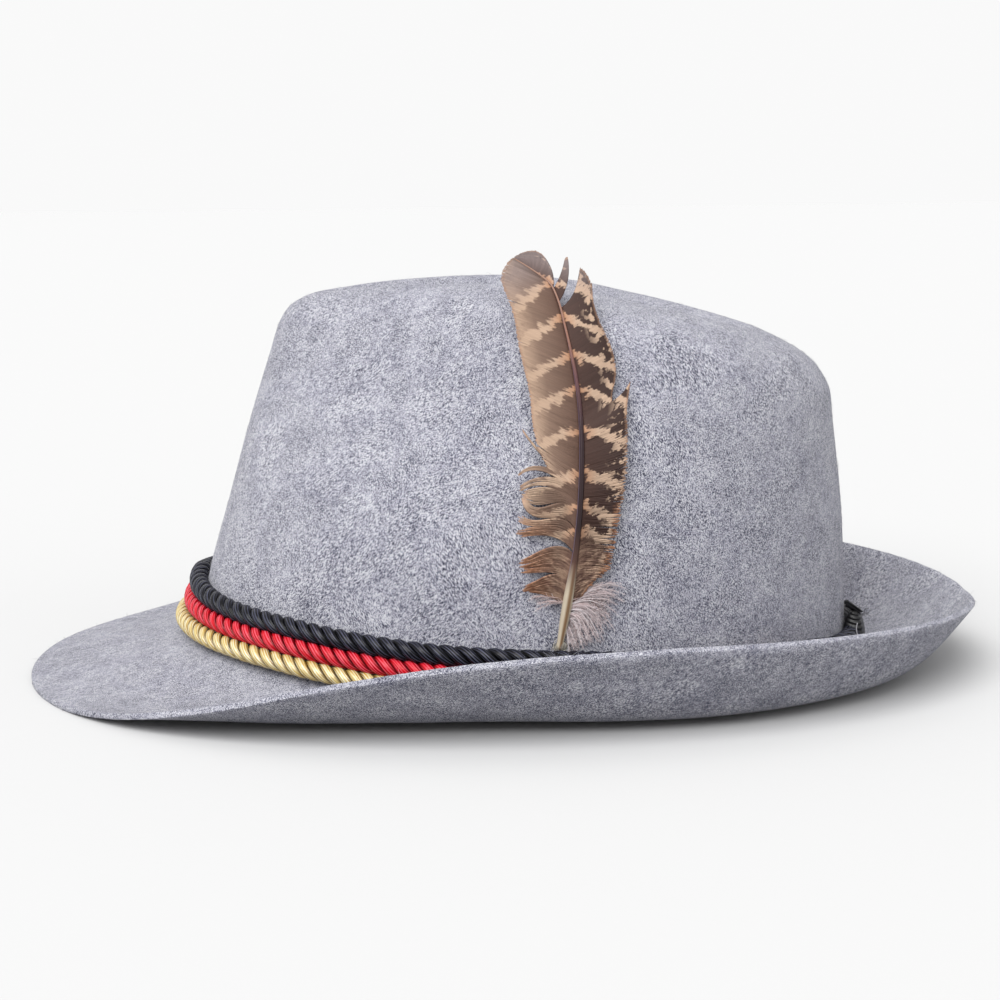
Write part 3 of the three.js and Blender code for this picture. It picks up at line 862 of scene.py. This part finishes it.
SHAFT = Table("""
v u width
258 513 0.35
267.5 529 0.42
279.5 546 0.5
286 552 0.55
304 559.5 0.62
326 565 0.68
345 569.5 0.8
380 576.4 1.15
409 580 1.3
437 581.6 1.4
466 581.7 1.5
495 580.8 1.6
518 579.3 1.65
545 576.6 1.75
560 574.6 1.95
580 571.4 2.45
600 567.9 2.85
620 564.3 2.65
635 561.6 2.1
650 558.9 1.85
""")

# Guides of the barbs, from the foot up, with one stray lock at the end of the front web's.
# Barbs lie between guides of the same lock, and an empty line, where a new lock begins,
# leaves a split. A guide's first number is the row of the photograph where it leaves the
# shaft, and the others are two or three more pixels that it runs through.
FRONT_GUIDES = """
606 556 599.5 542 594 523 590
596 556 586 541 586.5 523 589.7
585 556 574 540.5 578.5 523.2 589

584 556 573 540 571.5 521 571.5
572 557 559 541 561 519.5 566
556 560.5 546.5 543 549.5 520 560.7

555 557 538 541 534.5 521 536.5
549 556 532 540 531.5 515.5 533
543 554 527 537 526.8 516 530.6

542.5 554 526.5 537 525.5 517.7 518.3
537 555 518.5 538 521 516.3 515.6

536 555 517.5 537 517 523 499
528 556 510 538 512.5 522.5 497
520 556 503 539 507.5 523 496

519.5 556 502 539 504.5 522.5 494.5
513 556 495.5 539 496 521.5 494
506 555 489 539.5 487.5 521.5 493.5

505.5 554 488 540 485.5 520 492
500 555 483 540.5 481.5 519 490
494 556 478 541.5 477 518.5 488.3

493.5 556 477 540 470 518 476
489 556 472 538 466.3 517.5 475.5

489.5 562 477.5 547.4 467
482 561 469 541 454
474 559 461 537 446
464 558 453 534.5 437
455 557 446 533 428
440 556 431 531.5 417
420 555 411 530 399
400 552.5 389 526 377
380 549 369 520.5 357
360 545 349 517 338
340 540.5 330 514.5 320
325 536 315 510.5 306
310 532 300 504.5 291
298 528 289 500.5 280
291 529 281 502 270.5
284 528 273 506.5 263.5
275 525 267 510.5 259.5
262 518 260.5 512.5 258.5

486 560 472 543 456 523 429.2
484.5 560 470 542.5 454 522.5 428.8
"""
BACK_GUIDES = """
604 577 599 583 594
596 583 587 592 582.5
582 588 578 602 576
568 593 566 609.5 569
553 596 556 612.5 558
541 598 544 615.5 545
525 601 527 618.5 527
510 603 511 621.5 510
495 605 493 624.5 490
478 606 474 627 467
460 606 453 628 445
448 606 440 628 429
438 606 428 627 416
430 606 419 627.5 405
426 606 414 629 391
423 598 410.5 613 401.5 630.5 381

424 598 412.5 612 400.5
414 599 405 612.3 393
404 599 396 614.5 384
396 598 388 616 375
388 598 378 616 366
376 595 364 614 354
366 592 354 610.5 344
354 588 342 604.5 331
344 586 331 599.5 320
334 583 320 595 308
326 581.5 311 593 297
320 579 301 592 284
314 576.5 292 587 273
308 571 299 577 286 580 267

302 566 286 567.3 257
289 560.5 276 565.5 258

288 552.5 275 546 260
282 548 267 542 254
275 539 261 535 250.5
268 530.5 257.5 528 250.8
261.5 521.5 256.5 521 253
258.6 514 257.9 513.5 257.3
"""
DOWN_GUIDES = """
594 588 588 604 584 621 586
598 590 592 606 588 622 593
603 590 597 607 597 620 602
607 587 602 602 606 613 617
611 584 608 596 618 603 633
614 579 614 590 628 597 643
617 574 620 582 634 587 648
620 570 625 575 638 578 650
625 565 633 567 644 568 652

598 551 594.5 538 592 525 594.5
600 552 597.5 541 596 530 600
603 552 601 542 601.5 531 606
606 554 603.5 547 605.5 540 609

600 590 598 603 604 612 616
602 590 600 602 608 609 618
"""


def crown_side(x, height):
    """How far the crown's outer side is from the middle plane, beside the feather."""
    angle = np.full(np.shape(x), 270.0)
    along = x - CROWN_SET_BACK
    for _ in range(4):
        rise = rise_at(angle, height)
        share = np.where(along < 0, CROWN.read("front", rise), CROWN.read("back", rise))
        cos = np.clip(along / (HALF_LENGTH * share), -0.95, 0.95)
        angle = 360 - np.degrees(np.arccos(cos))
    return np.abs(crown_point(angle, rise_at(angle, height))[..., 1])


def standing(u, v, stand):
    """Points at pixels whose distance from the middle plane is found by stand(x, height)."""
    out = np.full(np.shape(v), HALF_WIDTH)
    for _ in range(6):
        point = in_view(u, v, out)
        out = stand(point[..., 0], point[..., 2])
    return in_view(u, v, out)


LEANING = 91.0  # height up to which the shaft leans on the crown
LEAN_SPAN = 22  # the stretch below it that gives its slope


def shaft_point(v):
    """Middle of the shaft, which leans on the crown up to LEANING and goes on straight."""

    def stand(x, height):
        low = crown_side(x, np.full_like(x, LEANING - LEAN_SPAN))
        slope = (crown_side(x, np.full_like(x, LEANING)) - low) / LEAN_SPAN
        side = crown_side(x, np.minimum(height, LEANING))
        side = side + slope * np.maximum(height - LEANING, 0)
        return side + QUILL_DIAMETER / 2 + TRIM_CLEARANCE

    v = np.asarray(v, float)
    return standing(SHAFT.read("u", v), v, stand)


def on_vane(u, v):
    """Point of the vane at a pixel, clear of the crown behind it."""
    shaft = -shaft_point(v)[..., 1]
    reach = np.abs(u - SHAFT.read("u", v)) / PIXELS_PER_MM / WEB_REACH

    def stand(x, height):
        wall = np.where(height < CROWN_HEIGHT, crown_side(x, height), 0)
        clear = np.maximum(shaft, wall + TRIM_CLEARANCE + WEB_THICKNESS / 2)
        return clear + WEB_CAMBER * reach**2

    return standing(u, v, stand)


def read_guides(text):
    """Locks of guides. A guide is a curve, a polynomial of the share of the way along."""
    locks = []
    for rows in text.strip().split("\n\n"):
        curves = []
        for row in rows.splitlines():
            root, *rest = map(float, row.split())
            points = [(float(SHAFT.read("u", np.array(root))), root)]
            points = np.array(points + list(zip(rest[::2], rest[1::2])))
            steps = np.linalg.norm(np.diff(points, axis=0, prepend=points[:1]), axis=1)
            key = np.cumsum(steps) / steps.sum()
            powers = np.polynomial.polynomial.polyfit(key, points, len(points) - 1)
            curve = np.zeros((4, 2))
            curve[: len(powers)] = powers
            curves.append(curve)
        locks.append(curves)
    return locks


def along_curve(curve, share):
    return np.polynomial.polynomial.polyval(share, curve).T


def barb_paths(guides, spacing, share):
    """Pixels along the barbs that lie between the guides, spacing millimetres apart. They
    get looser from the first of the loose rows to the second."""
    loose_rows = [440, 550]
    looseness_there = [1, 6]
    barbs = []
    for curves in read_guides(guides):
        for low, high in zip(curves, curves[1:]):
            gap = np.linalg.norm(along_curve(high - low, share), axis=1).max() / PIXELS_PER_MM
            count = max(int(gap / spacing), 2)
            for part in (np.arange(count) + 0.5) / count:
                curve = low + (high - low) * part
                looseness = np.interp(curve[0, 1], loose_rows, looseness_there)
                reached = share * (1 - abs(rng.normal(0, 0.008 * looseness)))
                stray = rng.normal(0, 0.2 * looseness, 2) * share[:, None] ** 2
                barbs.append(along_curve(curve, reached) + stray)
    return np.array(barbs)


def make_vanes(material):
    """Both webs of the feather, barb by barb. Towards the barbs' tips the bars rise by the
    first of the falls above the first row and by the second below the second row."""
    spacing = 0.3
    fall_rows = [310, 440]
    webs = [(FRONT_GUIDES, -1, [31, 20]), (BACK_GUIDES, 1, [16, 14])]
    share = np.linspace(0, 1, 13)
    parts = []
    for guides, side, falls in webs:
        pixels = barb_paths(guides, spacing, share)
        paths = on_vane(pixels[..., 0], pixels[..., 1])
        fall = np.interp(pixels[..., 1], fall_rows, falls)
        pattern = (pixels[..., 1] - fall * share) / 100
        marks = np.stack([pattern, np.broadcast_to(side * share, pattern.shape)], -1)
        lean = rng.normal(0.35, 0.05, (len(paths), 1, 1))
        facing = TO_VIEWER + lean * UPRIGHT
        width = np.interp(share, [0, 0.15, 0.7, 0.9, 1], [0.42, 0.56, 0.54, 0.46, 0.25])
        width = width * rng.uniform(0.95, 1.05, (len(paths), 1))
        parts.append(sweep(paths, facing, width, 0.12, 4, marks))
    add_piece("feather_vanes", join(parts), material, ["feather"])


def make_shaft(material):
    """Quill and shaft, an oval that thins to the tip and stands a little off the webs."""
    steps = 120
    sides = 16
    flatness = 0.85
    forward = 0.15
    v = np.linspace(QUILL_FOOT, SHAFT_TIP, steps)
    path = shaft_point(v)
    path[:, 1] -= forward
    width = SHAFT.read("width", v)
    marks = np.stack([v / 100, np.zeros(steps)], -1)[None]
    body = sweep(path[None], TO_VIEWER, width, width * flatness, sides, marks, 1.0)
    add_piece("feather_shaft", body, material, ["feather"])


def curl(start, heading, length, bend, steps):
    """Paths that leave start along heading and turn evenly by bend radians in all."""
    share = np.linspace(0, 1, steps)
    step = length / (steps - 1)
    angle = heading + bend * share
    x = np.cumsum(np.cos(angle), axis=-1) * step
    z = np.cumsum(np.sin(angle), axis=-1) * step
    x = x - x[..., :1]
    z = z - z[..., :1]
    return start[..., None, :] + np.stack([x, np.zeros_like(x), z], -1)


def make_down(material):
    """The soft fan at the foot of the vane: loose strands set with fine barbules."""
    steps = 12
    counts = [96, 12, 8]  # strands in each lock, and the tone of the locks that have one
    lock_tones = [None, 0.15, 0.0]
    share = np.linspace(0, 1, steps)
    pixels = []
    tones = []
    for curves, count, lock_tone in zip(read_guides(DOWN_GUIDES), counts, lock_tones):
        for at in rng.uniform(0, len(curves) - 1.001, count):
            low = int(at)
            curve = curves[low] + (curves[low + 1] - curves[low]) * (at - low)
            strand = along_curve(curve, share * rng.uniform(0.7, 1.04))
            pixels.append(strand + rng.normal(0, 3.6, (1, 2)) * share[:, None] ** 1.5)
            own_tone = rng.uniform(0.2, 1)
            tones.append(own_tone if lock_tone is None else lock_tone)
    pixels = np.array(pixels)
    stand = rng.uniform(0.7, 2.6, (len(pixels), 1)) * np.linspace(0.8, 1, steps)

    def beside(x, height):
        return crown_side(x, height) + stand

    strands = standing(pixels[..., 0], pixels[..., 1], beside)
    width = np.linspace(0.27, 0.11, steps)
    marks = np.broadcast_to(np.array(tones)[:, None, None], (len(strands), steps, 2))
    parts = [sweep(strands, TO_VIEWER, width, width, 3, marks)]
    per_strand = 34
    fine_steps = 4
    place = rng.uniform(0.12, 1, (len(strands), per_strand)) * (steps - 1.001)
    low = place.astype(int)
    part = (place - low)[..., None]
    which = np.arange(len(strands))[:, None]
    start = strands[which, low] * (1 - part) + strands[which, low + 1] * part
    along = strands[which, low + 1] - strands[which, low]
    lean = np.arctan2(along[..., 2], along[..., 0])
    lean = lean + rng.choice([-1, 1], lean.shape) * rng.uniform(0.35, 0.8, lean.shape)
    size = rng.uniform(0.7, 2.1, lean.shape) * (1 - 0.45 * place / steps)
    start = start.reshape(-1, 3)
    bend = rng.normal(0, 0.5, (len(start), 1))
    fine = curl(start, lean.reshape(-1, 1), size.reshape(-1, 1), bend, fine_steps)
    tone = rng.uniform(0.2, 1, (len(start), 1, 1))
    marks = np.broadcast_to(tone, (len(start), fine_steps, 2))
    parts.append(sweep(fine, TO_VIEWER, np.linspace(0.1, 0.05, fine_steps), 0.06, 3, marks))
    add_piece("feather_down", join(parts), material, ["feather"])


def make_glue(material):
    """The clear blob that holds the foot of the quill, with one drawn thread."""
    rings = 12
    around = 18
    size = [1.9, 0.95, 1.75]
    lean = 0.25
    off_foot = [0.3, 0.1, 0.6]
    thread = [[-1.0, -0.6, 3.2], [-1.5, -0.7, 1.6], [-2.0, -0.6, 0.2], [-2.3, -0.4, -0.6]]
    foot = shaft_point(QUILL_FOOT)
    polar = np.linspace(0.02, np.pi - 0.02, rings)[:, None]
    turn = 2 * np.pi * np.arange(around) / around
    lump = 1 + 0.12 * np.sin(3 * turn + 0.6) * np.sin(polar) + 0.08 * np.cos(5 * turn)
    x = size[0] * np.sin(polar) * np.cos(turn) * lump
    y = size[1] * np.sin(polar) * np.sin(turn) * lump
    z = size[2] * np.cos(polar) * np.ones(around)
    points = np.stack([x + z * lean, y, z], -1) + foot + np.array(off_foot)
    index = np.arange(rings * around).reshape(rings, around)
    faces = [band_quads(index)[:, ::-1], index[:1], index[-1:, ::-1]]
    strip = sweep((np.array(thread) + foot)[None], TO_VIEWER, 0.22, 0.16, 8)
    body = join([(points.reshape(-1, 3), faces, None), strip])
    add_piece("quill_glue", body, material, ["feather"])


# Binding at the back


def wrap_sleeve():
    """The ribbed ribbon round the cords. Its near end is cut, and the cap that closes it
    shows the folds inside."""
    around = 180
    length_steps = 40
    cap_steps = 8
    ribs = 30
    rib_height = 0.36
    rib_power = 0.6
    fold_size = 1.35
    degrees_per_mm = 0.62
    sink_from_near_end = 3.8
    sink_to_far_end = 0.6
    foot = FLAT_LEVEL + TRIM_CLEARANCE
    turn = -2 * np.pi * np.arange(around) / around
    along = np.r_[np.full(cap_steps, -1.0), np.linspace(-1, 1, length_steps)][:, None]
    cap = np.r_[np.linspace(np.pi / 2, 0.2, cap_steps), np.zeros(length_steps)][:, None]
    wander = 0.3 * np.sin(along * 5.1 + turn * 3) + 0.2 * np.sin(along * 11 - turn * 2)
    rib = np.abs(np.cos(ribs * (turn + 0.05 * wander) / 2)) ** rib_power
    rib = rib_height * rib * np.cos(cap)
    swell = 1 + 0.04 * np.sin(along * 4 + 0.5) - 0.05 * np.abs(along) ** 8
    plain_out = BINDING_WIDTH / 2 * (1 + np.cos(turn) * np.cos(cap)) * swell
    out = plain_out + rib * (np.cos(turn) + 0.4)
    tall = BINDING_HEIGHT - sink_from_near_end * np.minimum(along + 1, 1)
    tall = tall - sink_to_far_end * np.maximum(along, 0)
    plain_height = tall / 2 * (1 + np.sin(turn) * 1.04)
    height = plain_height + rib * np.sin(turn)
    reach = np.where(along < 0, BINDING_NEAR_END, BINDING_FAR_END)
    angle = reach * along - 1.5 * np.sin(turn) * np.sign(along) * along**2
    folds = np.cos(np.pi * (plain_height + 0.25 * plain_out) / fold_size)
    depth = 0.9 + 0.55 * np.abs(folds) ** rib_power
    angle = angle - degrees_per_mm * np.sin(cap) * depth
    level = np.full(angle.shape, foot + BINDING_HEIGHT / 2)
    points = beside_crown(angle, level, np.maximum(TRIM_CLEARANCE + out, 0.12))
    points[..., 2] = foot + height
    index = np.arange(angle.size).reshape(angle.shape)
    return points.reshape(-1, 3), [band_quads(index), index[:1, ::-1], index[-1:]], None


def wrap_fray():
    """Threads of the ribbon's frayed end and loose hairs by it. Both are placed by pixels of
    the photograph, u and v, and by how far they are from the middle plane."""
    ends = 15
    end_u = 860
    end_v = 612
    hairs = 60
    hair_steps = 7
    hair_u = (848, 867)
    hair_v = 613.5
    share = np.linspace(0, 1, 9)
    fall = 9.6 * share + 2 * share * (1 - share)
    path = in_view(end_u - 14 * share, end_v - fall, 20 + 4 * share)
    scatter = rng.normal(0, 0.34, (ends, 1, 3))
    scatter = scatter + rng.normal(0, 0.16, (ends, 1, 3)) * share[:, None]
    stubs = sweep(path + scatter, TO_VIEWER, 0.6, 0.5, 6)
    u = rng.uniform(*hair_u, hairs)
    v = hair_v + rng.normal(0, 1.5, hairs)
    start = in_view(u, v, rng.uniform(8, 22, hairs))
    heading = rng.uniform(0.2, 2.7, (hairs, 1))
    length = rng.uniform(0.8, 2.8, (hairs, 1))
    paths = curl(start, heading, length, rng.normal(0, 0.8, (hairs, 1)), hair_steps)
    return stubs, sweep(paths, TO_VIEWER, 0.12, 0.1, 3)


def make_binding(material, thread_material):
    """The wrap that holds the cords' ends, and the pale stitch that hangs over it."""
    body = join([wrap_sleeve(), *wrap_fray()])
    add_piece("cord_wrap", body, material, ["cord_binding"])
    stitch_u = 857.4
    stitch_v = 623
    stitch_out = 27.9
    down = np.linspace(0, 1, 14)
    sway = 0.4 * down - 1.2 * np.sin(down * 3)
    path = in_view(stitch_u + sway, stitch_v + 12 * down, stitch_out)
    body = sweep(path[None], [1.0, -0.2, 0.0], 0.3, 0.3, 8)
    add_piece("stitch_thread", body, thread_material, ["cord_binding"])


# Scene


def add_camera():
    """The view of the photograph, a little above the hat's middle and from its left."""
    data = bpy.data.cameras.new("camera")
    data.lens = CAMERA_LENS
    data.sensor_width = CAMERA_SENSOR
    data.clip_start = 0.01
    camera = add_object("camera", data)
    aim = Matrix.Translation((0, 0, CAMERA_AIM * MM))
    tilt = Matrix.Rotation(CAMERA_TILT, 4, "Y")
    raised = Matrix.Rotation(np.pi / 2 - CAMERA_ELEVATION, 4, "X")
    away = Matrix.Translation((0, 0, CAMERA_DISTANCE * MM))
    camera.matrix_world = aim @ tilt @ raised @ away
    bpy.context.scene.camera = camera


def add_studio():
    """A white room, a wide soft light from the front left, a faint one from the right, and a
    pale floor that shows as bright as the room behind it."""
    room = 0.95
    # Strength, spread in degrees and the side that each light comes from.
    lights = {
        "soft_light": (3.75, 50, (-0.29, -0.61, 0.74)),
        "fill_light": (0.65, 60, (0.88, -0.45, 0.1)),
    }
    world = bpy.data.worlds.new("studio")
    world.use_nodes = True
    background = world.node_tree.nodes["Background"]
    background.inputs["Color"].default_value = grey(1.0)
    background.inputs["Strength"].default_value = room
    bpy.context.scene.world = world
    bpy.context.scene.view_settings.view_transform = "Standard"
    floor_light = room
    for name, (energy, spread, source) in lights.items():
        source = Vector(source).normalized()
        data = bpy.data.lights.new(name, "SUN")
        data.energy = energy
        data.angle = np.radians(spread)
        light = add_object(name, data)
        light.matrix_world = (-source).to_track_quat("-Z", "Y").to_matrix().to_4x4()
        floor_light += energy * source.z / np.pi
    reach = 60.0
    mesh = bpy.data.meshes.new("floor")
    corners = [(-reach, -reach, 0), (reach, -reach, 0), (reach, reach, 0), (-reach, reach, 0)]
    mesh.from_pydata(corners, [], [(0, 1, 2, 3)])
    finish = Finish("pale_floor", 0.0, Roughness=1.0, Base_Color=grey(room / floor_light))
    mesh.materials.append(finish.material)
    floor = add_object("floor", mesh)


add_camera()
add_studio()

outer, normals = make_felt(felt_finish())
make_fuzz(outer, normals, strand_finish("wool_fibre", WOOL_TONES, 0.2))
for place, (name, pitch, diameter, *satin) in enumerate(CORDS):
    make_cord(place, name, pitch, diameter, satin_finish(f"{name}_satin", *satin))
make_vanes(vane_finish())
make_shaft(shaft_finish())
make_down(strand_finish("soft_down", DOWN_TONES, 0.3))
make_glue(glue_finish())
make_binding(ribbon_finish(), thread_finish())
